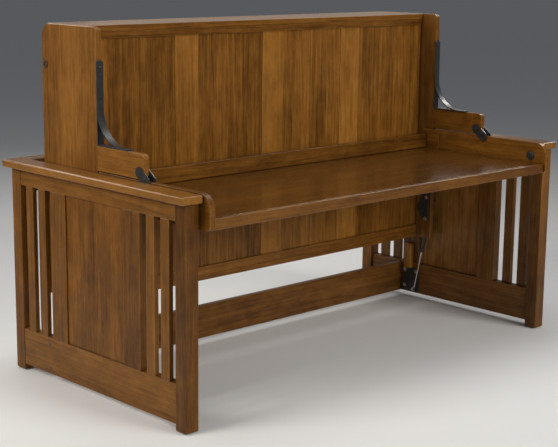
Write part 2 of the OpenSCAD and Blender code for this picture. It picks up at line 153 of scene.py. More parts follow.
def edge_mask(t, radius, lo=0.02, hi=0.22):
    """1 near a rounded or sharp outer edge, 0 on flat faces."""
    bev = t.node("Bevel", 0, {"samples": 4}, Radius=radius)
    geo = t.node("NewGeometry", 3)
    d = t.v("DOT_PRODUCT", bev, geo)
    return t.remap(t.m("SUBTRACT", 1.0, d), lo, hi, smooth=True)

# ---- wood -----------------------------------------------------------------------
WOOD = [(0.0, (0.022, 0.0072, 0.0012)), (0.28, (0.066, 0.0245, 0.0038)), (0.50, (0.142, 0.0565, 0.0085)),
        (0.74, (0.250, 0.1060, 0.0180)), (1.0, (0.400, 0.1950, 0.0480))]

def wood(name, lift=0.0, stave=0.0, rings=1.0, mottle=1.0, rough=0.40, coat=0.06, streak=1.0, spec=0.18, gloss=0.16, relief=0.20, tint=(1, 1, 1)):
    t = Tree(name)
    g = t.attr("grain")                        # metres, z runs along the grain
    tone_and_light = t.attr("tone_and_light", 2)
    if stave:
        gx = t.node("SeparateXYZ", 0, Vector=g)
        idx = t.m("FLOOR", t.m("DIVIDE", gx, stave))
        wn = t.node("TexWhiteNoise", 1, {"noise_dimensions": "1D"}, W=idx)
        wv = t.node("TexWhiteNoise", 0, {"noise_dimensions": "1D"}, W=t.m("ADD", idx, 37.5))
        g2 = t.v("ADD", g, t.v("MULTIPLY", wn, (0.9, 0.9, 7.0)))
        edge = t.m("ABSOLUTE", t.m("SUBTRACT", t.m("FRACT", t.m("DIVIDE", gx, stave)), 0.5))
        seam = t.remap(edge, 0.488, 0.5)
    else:
        g2, wv, seam = g, None, None
    # slow drift of the stain, in long soft patches
    slow = t.noise(t.v("MULTIPLY", g2, (1.0, 1.0, 0.24)), 6.5, 2.0, 0.5)
    patch = t.noise(t.v("MULTIPLY", g2, (1.0, 1.0, 0.50)), 24.0, 3.0, 0.6)
    # growth rings cut nearly along the grain: long lines that wander and crowd together
    warp = t.noise(t.v("MULTIPLY", g2, (1.0, 1.0, 0.12)), 7.0, 2.0, 0.5)
    gxx = t.node("SeparateXYZ", 0, Vector=g2)
    gyy = t.node("SeparateXYZ", 1, Vector=g2)
    depth = t.m("ADD", t.m("MULTIPLY", gxx, 34.0), t.m("MULTIPLY", gyy, 61.0))
    ring = t.m("FRACT", t.m("MULTIPLY_ADD", warp, 5.5, depth))
    ring = t.m("MULTIPLY", t.m("POWER", ring, 2.2), t.remap(ring, 0.90, 1.0, 1.0, 0.0))
    # fibres and pores
    band = t.noise(t.v("MULTIPLY", g2, (1.0, 1.0, 0.020)), 75.0, 2.0, 0.55)
    fibre = t.noise(t.v("MULTIPLY", g2, (1.0, 1.0, 0.028)), 240.0, 3.0, 0.62)
    pore = t.noise(t.v("MULTIPLY", g2, (1.0, 1.0, 0.040)), 900.0, 1.0, 0.5)
    pore = t.remap(pore, 0.60, 0.70)
    # paler edges: partly worn finish along the arrises, partly a painted highlight standing in for glints on them
    edge = edge_mask(t, 0.0048)
    pale_edge = t.m("MULTIPLY", edge, t.remap(t.noise(g2, 16.0, 3.0, 0.6), 0.30, 0.62, 0.50, 1.0))

    f = t.m("MULTIPLY_ADD", t.m("SUBTRACT", slow, 0.5), 0.38 * mottle, 0.50 + lift)
    f = t.m("MULTIPLY_ADD", t.m("SUBTRACT", patch, 0.5), 0.30 * mottle, f)
    f = t.m("MULTIPLY_ADD", t.m("SUBTRACT", band, 0.5), 0.34 * streak, f)
    f = t.m("MULTIPLY_ADD", t.m("SUBTRACT", fibre, 0.5), 0.50 * streak, f)
    f = t.m("MULTIPLY_ADD", ring, -0.10 * rings, f)
    f = t.m("MULTIPLY_ADD", pore, -0.13, f)
    # per-board brightness: the board's own tone plus painted light and shade
    f = t.m("MULTIPLY_ADD", tone_and_light, 0.15, f)
    if stave:
        f = t.m("MULTIPLY_ADD", t.m("SUBTRACT", wv, 0.5), 0.09, f)
        f = t.m("MULTIPLY_ADD", seam, -0.09, f)
    # painted highlight and wear: the edges are lightened
    f = t.m("MULTIPLY_ADD", pale_edge, 0.46, f)
    # painted shade in joints, corners and under parts: darker where ambient occlusion finds surfaces within 9 mm
    ao = t.node("AmbientOcclusion", 1, {"samples": 4}, Distance=0.009)
    f = t.m("MULTIPLY_ADD", t.remap(ao, 0.90, 0.40), -0.26, f)
    col = t.ramp(f, [(p, tuple(c * k for c, k in zip(rgb, tint))) for p, rgb in WOOD])
    r = t.m("MULTIPLY_ADD", t.m("SUBTRACT", patch, 0.5), 0.14, rough)
    r = t.m("MULTIPLY_ADD", pore, 0.10, r)
    r = t.m("MULTIPLY_ADD", pale_edge, -0.14, r)
    t.set(Base_Color=col, Roughness=r, Specular_IOR_Level=spec)
    t.set(Coat_Weight=t.m("MULTIPLY_ADD", pale_edge, 0.75, coat), Coat_Roughness=gloss, Coat_IOR=1.5, IOR=1.45)
    h = t.m("MULTIPLY_ADD", pore, -0.8, t.m("MULTIPLY", fibre, 0.6))
    t.bump(h, relief, 0.0003)
    return t.mat

MATS = {
    "wood_frame": wood("wood_frame", rings=0.9, streak=0.72, mottle=1.15),
    "wood_panel": wood("wood_panel", stave=0.105, rings=0.8, mottle=1.2, streak=1.15),
    # the left side panel's copy is warmer because it stands in the light, the right inner panel's copy and wood_shade
    # are bluish because they stand in shade: painted light and shade
    "wood_lit_panel": wood("wood_lit_panel", stave=0.105, rings=0.8, mottle=1.5, streak=0.85, tint=(0.98, 0.94, 0.76)),
    "wood_shaded_panel": wood("wood_shaded_panel", stave=0.105, rings=0.8, mottle=1.5, streak=0.85, tint=(1.0, 1.05, 1.45)),
    "wood_shade": wood("wood_shade", rings=0.9, streak=0.72, mottle=1.15, tint=(1.0, 1.05, 1.45)),
    "wood_top": wood("wood_top", rings=0.35, rough=0.30, coat=0.14, streak=0.75, spec=0.26, relief=0.12),
    # the desk top's finish: glossier, and set darker as a painted dark reflection in its lacquer
    "wood_desk": wood("wood_desk", stave=0.118, rings=0.30, mottle=0.6, rough=0.24, coat=0.38, streak=0.75, lift=-0.12, spec=0.30, gloss=0.10, relief=0.06),
}

# ---- metals, plastic and cloth ------------------------------------------------------
def coords(t):
    return t.node("TexCoord", 3)

def black_steel():
    t = Tree("black_steel")
    c = coords(t)
    n1 = t.noise(c, 38.0, 4.0, 0.6)
    n2 = t.noise(c, 1500.0, 2.0, 0.5)
    # paler edges: worn paint along them
    pale_edge = edge_mask(t, 0.0012)
    pale_edge = t.m("MULTIPLY", pale_edge, t.remap(t.noise(c, 120.0, 3.0, 0.6), 0.42, 0.60))
    f = t.m("MULTIPLY_ADD", t.m("SUBTRACT", n1, 0.5), 0.6, 0.35)
    f = t.m("MULTIPLY_ADD", pale_edge, 0.45, f)
    t.set(Base_Color=t.ramp(f, [(0.0, (0.010, 0.0105, 0.0105)), (0.4, (0.021, 0.0215, 0.021)), (1.0, (0.10, 0.097, 0.09))]),
          Roughness=t.m("MULTIPLY_ADD", t.m("SUBTRACT", n1, 0.5), 0.25, 0.40), Metallic=0.0)
    t.set(Coat_Weight=0.2, Coat_Roughness=0.3)
    t.bump(n2, 0.35, 0.00012)
    return t.mat

def bright(name, base, rough):
    t = Tree(name)
    c = coords(t)
    n = t.noise(t.v("MULTIPLY", c, (1.0, 1.0, 0.15)), 900.0, 3.0, 0.6)
    s = t.noise(c, 60.0, 3.0, 0.6)
    t.set(Base_Color=t.ramp(s, [(0.25, tuple(0.72 * x for x in base)), (0.75, base)]), Metallic=1.0,
          Roughness=t.m("MULTIPLY_ADD", s, 0.16, rough))
    t.bump(n, 0.15, 0.00006)
    return t.mat

def plastic(name, base, rough):
    t = Tree(name)
    c = coords(t)
    n = t.noise(c, 700.0, 2.0, 0.5)
    s = t.noise(c, 45.0, 3.0, 0.6)
    t.set(Base_Color=t.ramp(s, [(0.3, tuple(0.8 * x for x in base)), (0.7, base)]),
          Roughness=t.m("MULTIPLY_ADD", s, 0.15, rough))
    t.bump(n, 0.3, 0.0001)
    return t.mat

def ticking():
    """Fine herringbone cotton, off-white, with a soft sheen."""
    t = Tree("ticking")
    c = coords(t)
    s = t.node("SeparateXYZ", 0, Vector=c)
    z = t.node("SeparateXYZ", 2, Vector=c)
    zig = t.m("PINGPONG", s, 0.006)
    d = t.m("ADD", t.m("MULTIPLY", z, 1.0), t.m("MULTIPLY", zig, 1.6))
    line = t.m("PINGPONG", d, 0.0009)
    line = t.m("DIVIDE", line, 0.0009)
    yarn = t.noise(c, 1400.0, 2.0, 0.6)
    soil = t.noise(c, 6.0, 3.0, 0.6)
    f = t.m("MULTIPLY_ADD", t.m("SUBTRACT", line, 0.5), 0.30, 0.60)
    f = t.m("MULTIPLY_ADD", t.m("SUBTRACT", soil, 0.5), 0.35, f)
    f = t.m("MULTIPLY_ADD", t.m("SUBTRACT", yarn, 0.5), 0.25, f)
    # painted shade in the quilting valleys: darker where ambient occlusion finds the pad close by
    ao = t.node("AmbientOcclusion", 1, {"samples": 6}, Distance=0.035)
    f = t.m("MULTIPLY_ADD", t.remap(ao, 0.97, 0.70), -0.30, f)
    t.set(Base_Color=t.ramp(f, [(0.0, (0.42, 0.39, 0.33)), (0.6, (0.66, 0.63, 0.565)), (1.0, (0.80, 0.775, 0.715))]), Roughness=0.86)
    t.set(Sheen_Weight=0.10, Sheen_Roughness=0.5)
    t.bump(t.m("MULTIPLY_ADD", yarn, 0.4, line), 0.5, 0.0003)
    return t.mat

def webbing(name, dark, light):
    t = Tree(name)
    g = t.attr("grain")
    x = t.node("SeparateXYZ", 0, Vector=g)
    z = t.node("SeparateXYZ", 2, Vector=g)
    rib = t.m("DIVIDE", t.m("PINGPONG", x, 0.0011), 0.0011)
    step = t.m("DIVIDE", t.m("PINGPONG", t.m("ADD", z, t.m("MULTIPLY", rib, 0.0009)), 0.0010), 0.0010)
    f = t.m("MULTIPLY", rib, t.m("MULTIPLY_ADD", step, 0.6, 0.4))
    fuzz = t.noise(g, 900.0, 2.0, 0.6)
    f2 = t.m("MULTIPLY_ADD", t.m("SUBTRACT", fuzz, 0.5), 0.5, f)
    t.set(Base_Color=t.ramp(f2, [(0.1, dark), (0.9, light)]), Roughness=0.78)
    t.set(Sheen_Weight=0.15, Sheen_Roughness=0.45)
    t.bump(f, 0.7, 0.0005)
    return t.mat

MATS["black_steel"] = black_steel()
MATS["polished_rod"] = bright("polished_rod", (0.80, 0.80, 0.81), 0.10)
MATS["dark_screw"] = bright("dark_screw", (0.20, 0.195, 0.185), 0.32)
MATS["zinc"] = bright("zinc", (0.62, 0.61, 0.57), 0.24)
MATS["glide"] = plastic("glide", (0.035, 0.034, 0.033), 0.45)
MATS["plug"] = plastic("plug", (0.030, 0.017, 0.010), 0.40)
MATS["ticking"] = ticking()
MATS["thread"] = plastic("thread", (0.46, 0.44, 0.39), 0.60)
MATS["webbing"] = webbing("webbing", (0.010, 0.010, 0.011), (0.060, 0.060, 0.064))
MATS["tape"] = webbing("tape", (0.16, 0.155, 0.15), (0.36, 0.35, 0.33))

# ---- pieces from CAD shapes -----------------------------------------------------------
AXIS = {}
for n in NODES:
    a = "z"
    if "rail_" in n or n.startswith(("cap_", "arm_board", "desk_side")):
        a = "y"
    if n in ("rear_cap", "rear_rail", "low_stretcher", "bed_top_board", "bed_bottom_board", "bed_top_rail",
             "bed_bottom_rail", "desk_top", "desk_edge", "desk_back_rail"):
        a = "x"
    AXIS[n] = a
# how light each board is, from -1 to 1: partly the board's own tone, partly painted light and shade set to how light
# falls on it (boards on the lit left side lighter than their twins in shade on the right, the corner blocks lighter
# where lit)
TONE_AND_LIGHT = {"bed_panel_1": 0.15, "bed_panel_2": -0.15, "bed_panel_3": 0.20, "bed_panel_4": 0.2, "bed_narrow_1": 0.95,
        "bed_narrow_2": 1.05, "bed_narrow_3": 1.60, "bed_side_left": 0.50, "bed_side_right": -0.3, "arm_board_left": 1.0,
        "arm_board_right": -0.3, "desk_back_rail": -0.5, "cap_left": 0.9, "cap_right": 0.2, "rear_cap": 0.2, "front_post_left": -0.7, "bed_top_rail": -0.5, "bed_bottom_board": -0.3, "front_stile_left": -0.6, "rear_stile_left": 0.5,
        "front_post_right": -0.3, "rear_post_left": -0.1, "bed_top_board": 0.1, "desk_top": -0.3, "desk_edge": -0.6,
        "desk_side_left": -0.3, "desk_side_right": -0.1, "low_stretcher": -0.5, "side_panel_left": 0.05, "side_panel_right": 0.8,
        "bottom_rail_left": 0.35, "bottom_rail_right": 0.0, "top_rail_left": -0.2, "corner_blocks": 1.5}

def grain_attr(me, axis, seed, wide=None):
    """Stores each point's place with z along the grain and x across the board's face."""
    rnd = random.Random(seed)
    off = Vector((rnd.uniform(0, 3), rnd.uniform(0, 3), rnd.uniform(0, 9)))
    at = me.attributes.new("grain", "FLOAT_VECTOR", "POINT")
    vals = []
    for v in me.vertices:
        x, y, z = v.co
        p = {"x": (y, z, x), "y": (x, z, y), "z": (x, y, z)}[axis]
        if wide == "swap":
            p = (p[1], p[0], p[2])
        vals += [p[0] + off.x, p[1] + off.y, p[2] + off.z]
    at.data.foreach_set("vector", vals)

def tone_and_light_attr(me, value):
    at = me.attributes.new("tone_and_light", "FLOAT", "POINT")
    at.data.foreach_set("value", [value] * len(me.vertices))

def finish_mesh(obj, angle=38):
    me = obj.data
    me.shade_smooth()
    me.set_sharp_from_angle(angle=math.radians(angle))
    w = obj.modifiers.new("weighted", "WEIGHTED_NORMAL")
    w.keep_sharp = True
    w.weight = 80

def volume(bm):
    return bm.calc_volume(signed=False)

def eased(node, w=0.0012, segs=2, angle=30):
    """A copy of a CAD shape with its sharp outer edges eased by w metres. Returns None if the copy isn't sound."""
    src = NODES[node]
    bm = bmesh.new()
    bm.from_mesh(src.data)
    bmesh.ops.remove_doubles(bm, verts=bm.verts, dist=2e-6)
    bmesh.ops.dissolve_limit(bm, angle_limit=0.012, verts=bm.verts, edges=bm.edges, use_dissolve_boundaries=False, delimit={"NORMAL"})
    bmesh.ops.recalc_face_normals(bm, faces=bm.faces)
    v0 = volume(bm)
    sharp = [e for e in bm.edges if e.is_manifold and e.is_convex and e.calc_face_angle(0) > math.radians(angle)
             and e.calc_length() > 0.0]
    bmesh.ops.bevel(bm, geom=sharp, offset=w, offset_type="OFFSET", segments=segs, profile=0.5, affect="EDGES",
                    clamp_overlap=False, miter_outer="SHARP", loop_slide=True)
    bmesh.ops.remove_doubles(bm, verts=bm.verts, dist=1e-6)
    bad = [e for e in bm.edges if not e.is_manifold]
    v1 = volume(bm)
    lo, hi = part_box(node)
    xs = [v.co for v in bm.verts]
    blo = Vector(min(c[i] for c in xs) for i in range(3)); bhi = Vector(max(c[i] for c in xs) for i in range(3))
    ok = not bad and abs(v1 - v0) < 0.035 * v0 and (blo - lo).length < 1e-4 and (bhi - hi).length < 1e-4
    if not ok:
        print("eased", node, "not sound:", len(bad), "open edges, volume", v0, "->", v1, (blo - lo).length, (bhi - hi).length)
        bm.free()
        return None
    me = bpy.data.meshes.new(node + "_eased")
    bm.to_mesh(me); bm.free()
    return me

def block(bm, lo, hi, w):
    """Bar with eased edges between two corners."""
    r = bmesh.ops.create_cube(bm, size=1.0)
    lo, hi = Vector(lo), Vector(hi)
    for vtx in r["verts"]:
        vtx.co = Vector((lo + hi) / 2) + Vector(a * b for a, b in zip(vtx.co, hi - lo))
    edges = list({e for vtx in r["verts"] for e in vtx.link_edges})
    bmesh.ops.bevel(bm, geom=edges, offset=w, offset_type="OFFSET", segments=2, profile=0.5, affect="EDGES")

def board(node, w, mat=None, **kw):
    me = None
    for k in (1.0, 0.75, 0.5, 0.3):
        me = me or eased(node, w * k, **kw)
    seed = sorted(NODES).index(node) + 11
    if me is None:
        # already rounded all over: its own rounding is kept and only shaded smoothly
        bm = bmesh.new()
        bm.from_mesh(NODES[node].data)
        bmesh.ops.remove_doubles(bm, verts=bm.verts, dist=2e-6)
        bmesh.ops.recalc_face_normals(bm, faces=bm.faces)
        me = bpy.data.meshes.new(node + "_copy")
        bm.to_mesh(me); bm.free()
    obj = bpy.data.objects.new(node + "_piece", me)
    scene.collection.objects.link(obj)
    finish_mesh(obj)
    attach(obj, BODY[node]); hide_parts(node)
    lo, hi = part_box(node)
    size = hi - lo
    ax = AXIS[node]
    # the wide face's own direction goes on x, so that glued staves lie side by side across it
    across = {"x": (size.y, size.z), "y": (size.x, size.z), "z": (size.x, size.y)}[ax]
    grain_attr(me, ax, seed, "swap" if across[1] > across[0] else None)
    tone_and_light_attr(me, TONE_AND_LIGHT.get(node, random.Random(seed * 3).uniform(-0.3, 0.3)))
    me.materials.clear()
    me.materials.append(MATS[mat or SLOT[node]])
    return obj

WIDTH = {"bed_side_left": 0.0024, "bed_side_right": 0.0024, "arm_board_left": 0.0022, "arm_board_right": 0.0022,
         "desk_side_left": 0.0026, "desk_side_right": 0.0026, "cap_left": 0.003, "cap_right": 0.003, "rear_cap": 0.0018,
         "front_post_left": 0.0024, "front_post_right": 0.0024, "bed_top_board": 0.0018, "desk_top": 0.0012,
         "desk_edge": 0.0016, "side_panel_left": 0.0010, "side_panel_right": 0.0010}
def desk_side(node):
    """Side of the desk: a bevelled plate with its outline, a groove for the desk top and the thin end behind it."""
    lo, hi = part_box(node)
    s = 1 if lo.x > 0 else -1
    inner, outer = 0.954, 0.979
    y0, y1, z0, z1 = lo.y, 0.0625, lo.z, hi.z
    outline = []
    for cy, cz, r, a0 in ((y0, z0, 0.016, 180), (y1, z0, 0.002, 270), (y1, z1, 0.004, 0), (y0, z1, 0.058, 90)):
        oy = cy + r if cy == y0 else cy - r
        oz = cz + r if cz == z0 else cz - r
        k = max(3, int(r * 1000 / 3.2))
        for i in range(k + 1):
            a = math.radians(a0 + 90.0 * i / k)
            outline.append((oy + r * math.cos(a), oz + r * math.sin(a)))
    bm = bmesh.new()
    near = [bm.verts.new((s * inner, y, z)) for y, z in outline]
    far = [bm.verts.new((s * outer, y, z)) for y, z in outline]
    n = len(outline)
    for i in range(n):
        j = (i + 1) % n
        bm.faces.new((near[i], near[j], far[j], far[i]))
    f1 = bm.faces.new(list(reversed(near))); f2 = bm.faces.new(far)
    bmesh.ops.recalc_face_normals(bm, faces=bm.faces)
    rims = [e for f in (f1, f2) for e in f.edges]
    bmesh.ops.bevel(bm, geom=rims, offset=0.0030, offset_type="OFFSET", segments=4, profile=0.5, affect="EDGES", clamp_overlap=True)
    me = bpy.data.meshes.new(node + "_own"); bm.to_mesh(me); bm.free()
    obj = bpy.data.objects.new(node + "_piece", me)
    scene.collection.objects.link(obj)
    # groove that takes the desk top's tongue
    cb = bmesh.new()
    bmesh.ops.create_cube(cb, size=1.0)
    a, b = Vector((s * 0.950, -0.5437, 0.7378)), Vector((s * 0.9602, 0.0547, 0.7652))
    for v in cb.verts:
        v.co = Vector(((a[i] + b[i]) / 2 + v.co[i] * abs(b[i] - a[i]) for i in range(3)))
    cm = bpy.data.meshes.new("cutter"); cb.to_mesh(cm); cb.free()
    cut = bpy.data.objects.new("cutter", cm); scene.collection.objects.link(cut)
    m = obj.modifiers.new("groove", "BOOLEAN"); m.operation = "DIFFERENCE"; m.solver = "EXACT"; m.object = cut
    bpy.context.view_layer.update()
    done = bpy.data.meshes.new_from_object(obj.evaluated_get(bpy.context.evaluated_depsgraph_get()))
    obj.modifiers.clear(); obj.data = done
    bpy.data.objects.remove(cut)
    # thin end behind the plate, inside the rear cap
    eb = bmesh.new(); eb.from_mesh(done)
    x0, x1 = sorted((s * 0.948, s * inner))
    block(eb, (x0, 0.0285, 0.7652), (x1, 0.1205, 0.852), 0.0008)
    block(eb, (x0, 0.0551, 0.7380), (x1, 0.1205, 0.7660), 0.0008)
    eb.to_mesh(done); eb.free()
    finish_mesh(obj)
    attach(obj, BODY[node]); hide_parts(node)
    grain_attr(done, "y", sorted(NODES).index(node) + 11, "swap")
    tone_and_light_attr(done, TONE_AND_LIGHT[node])
    done.materials.clear(); done.materials.append(MATS[SLOT[node]])

# boards with a material of their own: the desk top a glossier finish, set darker as a painted dark reflection; the lit
# left side panel a warmer copy, and the boards in shade bluish copies, as painted light and shade
KIND = {"desk_top": "wood_desk", "side_panel_left": "wood_lit_panel", "side_panel_right": "wood_shaded_panel"}
for n in ("low_stretcher", "bottom_rail_right", "front_stile_right", "rear_stile_right", "slats_right",
          "bed_side_right", "front_post_right"):
    KIND[n] = "wood_shade"
for n in sorted(NODES):
    if n in ("desk_side_left", "desk_side_right"):
        desk_side(n)
    elif SLOT[n].startswith("wood"):
        w = WIDTH.get(n, 0.0020)
        kind = KIND.get(n)
        if n.startswith("bed_panel") or n.startswith("bed_narrow") or n in ("bed_top_rail", "bed_bottom_rail"):
            w = 0.0013
        board(n, w, kind)
    elif n in ("mattress", "mattress_straps"):
        pass
    else:
        me = eased(n, 0.0006 if "gas" not in n else 0.0004, segs=2, angle=40)
        if me is None:
            obj = NODES[n]; me = obj.data
        else:
            obj = bpy.data.objects.new(n + "_piece", me)
            scene.collection.objects.link(obj)
            finish_mesh(obj, 50)
            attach(obj, BODY[n]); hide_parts(n)
        me.materials.clear()
        me.materials.append(MATS[SLOT[n]])

# ---- small helpers for pieces made here ------------------------------------------------
def new_piece(name, bm, body, mat, angle=38, nodes=(), smooth=True):
    bmesh.ops.recalc_face_normals(bm, faces=bm.faces)
    me = bpy.data.meshes.new(name)
    bm.to_mesh(me); bm.free()
    obj = bpy.data.objects.new(name, me)
    scene.collection.objects.link(obj)
    me.materials.append(MATS[mat])
    if smooth:
        finish_mesh(obj, angle)
    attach(obj, body)
    if nodes:
        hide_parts(*nodes)
    return obj

def frame_of(normal):
    n = Vector(normal).normalized()
    u = n.orthogonal().normalized()
    return u, n.cross(u), n

def lathe(bm, centre, normal, profile, seg=24, turn=0.0):
    """Turned shape: profile is (radius, height) pairs from the middle outwards and round, in metres."""
    u, v, n = frame_of(normal)
    c = Vector(centre)
    rows = []
    for r, h in profile:
        if r < 1e-7:
            rows.append([bm.verts.new(c + n * h)])
        else:
            rows.append([bm.verts.new(c + n * h + (u * math.cos(a) + v * math.sin(a)) * r)
                         for a in (turn + 2 * math.pi * i / seg for i in range(seg))])
    for p, q in zip(rows, rows[1:]):
        for i in range(seg):
            j = (i + 1) % seg
            if len(p) == 1 and len(q) == 1:
                continue
            if len(p) == 1:
                bm.faces.new((p[0], q[i], q[j]))
            elif len(q) == 1:
                bm.faces.new((p[i], q[0], p[j]))
            else:
                bm.faces.new((p[i], q[i], q[j], p[j]))
    return rows

def screw(bm, centre, normal, r=0.005, h=0.0022, sock=0.42):
    """Domed head with a round socket; its underside is 0.6 mm inside what it sits on."""
    lathe(bm, centre, normal, [(0, h * 0.25), (r * sock * 0.8, h * 0.25), (r * sock, h * 0.45), (r * sock, h * 0.98), (r * (sock + 0.06), h),
                               (r * 0.70, h * 0.93), (r * 0.90, h * 0.66), (r * 0.985, h * 0.32), (r, 0.0), (r * 0.98, -0.0006), (0, -0.0006)], 20)

def hex_bolt(bm, centre, normal, r=0.0075, h=0.005, turn=0.3):
    """Round washer with a chamfered six-sided head."""
    lathe(bm, centre, normal, [(0, 0.0014), (r * 1.32, 0.0014), (r * 1.42, 0.0010), (r * 1.42, -0.0005), (0, -0.0005)], 28)
    u, v, n = frame_of(normal)
    c = Vector(centre)
    rings = []
    for k, hh in ((1.0, 0.0010), (1.0, h * 0.82), (0.90, h), (0.0, h)):
        if k == 0.0:
            rings.append([bm.verts.new(c + n * hh)])
        else:
            rings.append([bm.verts.new(c + n * hh + (u * math.cos(a) + v * math.sin(a)) * r * k)
                          for a in (turn + math.pi / 3 * i for i in range(6))])
    bm.faces.new(list(reversed(rings[0])))
    for p, q in zip(rings, rings[1:]):
        for i in range(6):
            j = (i + 1) % 6
            if len(q) == 1:
                bm.faces.new((p[i], p[j], q[0]))
            else:
                bm.faces.new((p[i], p[j], q[j], q[i]))

def mm(*p):
    return Vector(p) / 1000.0

# ---- screws, bolts, bushes -------------------------------------------------------------------
lo_arm, hi_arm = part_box("steel_arm_right")
arm_x = (lo_arm.x + hi_arm.x) / 2
bm = bmesh.new()
for s in (-1, 1):
    for z in (1.240, 1.215, 1.128):
        screw(bm, (s * arm_x, hi_arm.y - 0.005, z), (0, -1, 0), 0.0052, 0.0018)
    for y in (0.036, -0.006, -0.101):
        screw(bm, (s * arm_x, y, lo_arm.z + 0.005), (0, 0, 1), 0.0052, 0.0018)
new_piece("arm_screws", bm, "bed", "dark_screw")
lo_in, hi_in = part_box("inner_plates")
bm = bmesh.new()
for s in (-1, 1):
    for y, z in ((0.094, 0.525), (0.0965, 0.420)):
        hex_bolt(bm, (s * (hi_in.x - 0.004), y, z), (-s, 0, 0), 0.0075, 0.0055, 0.2)
new_piece("inner_plate_bolts", bm, "bed", "zinc", 30)
# bushes in the outer faces of the bed sides, near the top
lo_s, hi_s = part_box("bed_side_right")
bm = bmesh.new()
for s in (-1, 1):
    lathe(bm, (s * hi_s.x, 0.391, 1.230), (s, 0, 0), [(0, -0.0002), (0.0050, 0.0000), (0.0068, 0.0003), (0.0078, 0.0016), (0.0092, 0.0025),
                                                    (0.0125, 0.0023), (0.0142, 0.0014), (0.0148, 0.0), (0.0146, -0.0010), (0, -0.0010)], 36)
new_piece("side_bushes", bm, "bed", "plug")
# the pivot plates' screws and the lower brackets' bolts
lo_p, hi_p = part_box("pivot_plates")
lo_g, hi_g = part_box("gas_brackets")
bm = bmesh.new()
for s in (-1, 1):
    for y, z in ((0.1045, 0.402), (0.2565, 0.402), (0.1045, 0.538), (0.2565, 0.538), (0.2565, 0.470)):
        screw(bm, (s * 1.005, y, z), (-s, 0, 0), 0.0055, 0.0022)
    for y, z in ((0.189, 0.134), (0.259, 0.134), (0.259, 0.060)):
        hex_bolt(bm, (s * 1.004, y, z), (-s, 0, 0), 0.0070, 0.0050, 0.5)
    # domed nut on the lower pin of the gas spring
    lathe(bm, (s * (0.995 - 0.011), 0.1905, 0.050), (-s, 0, 0), [(0, 0.0062), (0.0030, 0.0058), (0.0058, 0.0042), (0.0072, 0.0014), (0.0074, -0.0004), (0, -0.0004)], 24)
new_piece("frame_bolts", bm, "base", "zinc", 30)
# small plugs on the inner faces of the front posts
bm = bmesh.new()
for s in (-1, 1):
    lathe(bm, (s * 0.994, -0.4855, 0.689), (-s, 0, 0), [(0, 0.0007), (0.0030, 0.0007), (0.0046, 0.0004), (0.0050, -0.0006), (0, -0.0006)], 24)
new_piece("post_plugs", bm, "base", "plug")
# screws through the leaves into the desk sides
lo_c, hi_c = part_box("clamp_right")
bm = bmesh.new()
for s in (-1, 1):
    for y, z in ((-0.2185, 0.858), (-0.236, 0.8445)):
        screw(bm, (s * 0.982, y, z), (s, 0, 0), 0.0052, 0.0018)
        screw(bm, (s * 0.949, y, z), (-s, 0, 0), 0.0052, 0.0018)
new_piece("clamp_screws", bm, "desk", "dark_screw")
# collar where each rod leaves its tube
gas_a = math.atan2(-(0.0885 - 0.1905), 0.504 - 0.050)
for s, body in ((-1, "gas_tube_l"), (1, "gas_tube_r")):
    d = Vector((0, -math.sin(gas_a), math.cos(gas_a)))
    c = Vector((s * 0.995, 0.1905, 0.050)) + d * 0.199
    bm = bmesh.new()
    lathe(bm, c, d, [(0.0044, 0.0), (0.0078, -0.0012), (0.0086, 0.0), (0.0087, 0.0075), (0.0083, 0.0085), (0.0083, 0.0095), (0.0087, 0.0105),
                     (0.0087, 0.0150), (0.0081, 0.0160), (0.0044, 0.0160), (0.0044, 0.0)], 32)
    new_piece("gas_collar_" + body[-1], bm, body, "glide")

# ---- mattress ------------------------------------------------------------------------------------
def soft_step(t):
    t = min(1.0, max(0.0, t))
    return t * t * (3 - 2 * t)

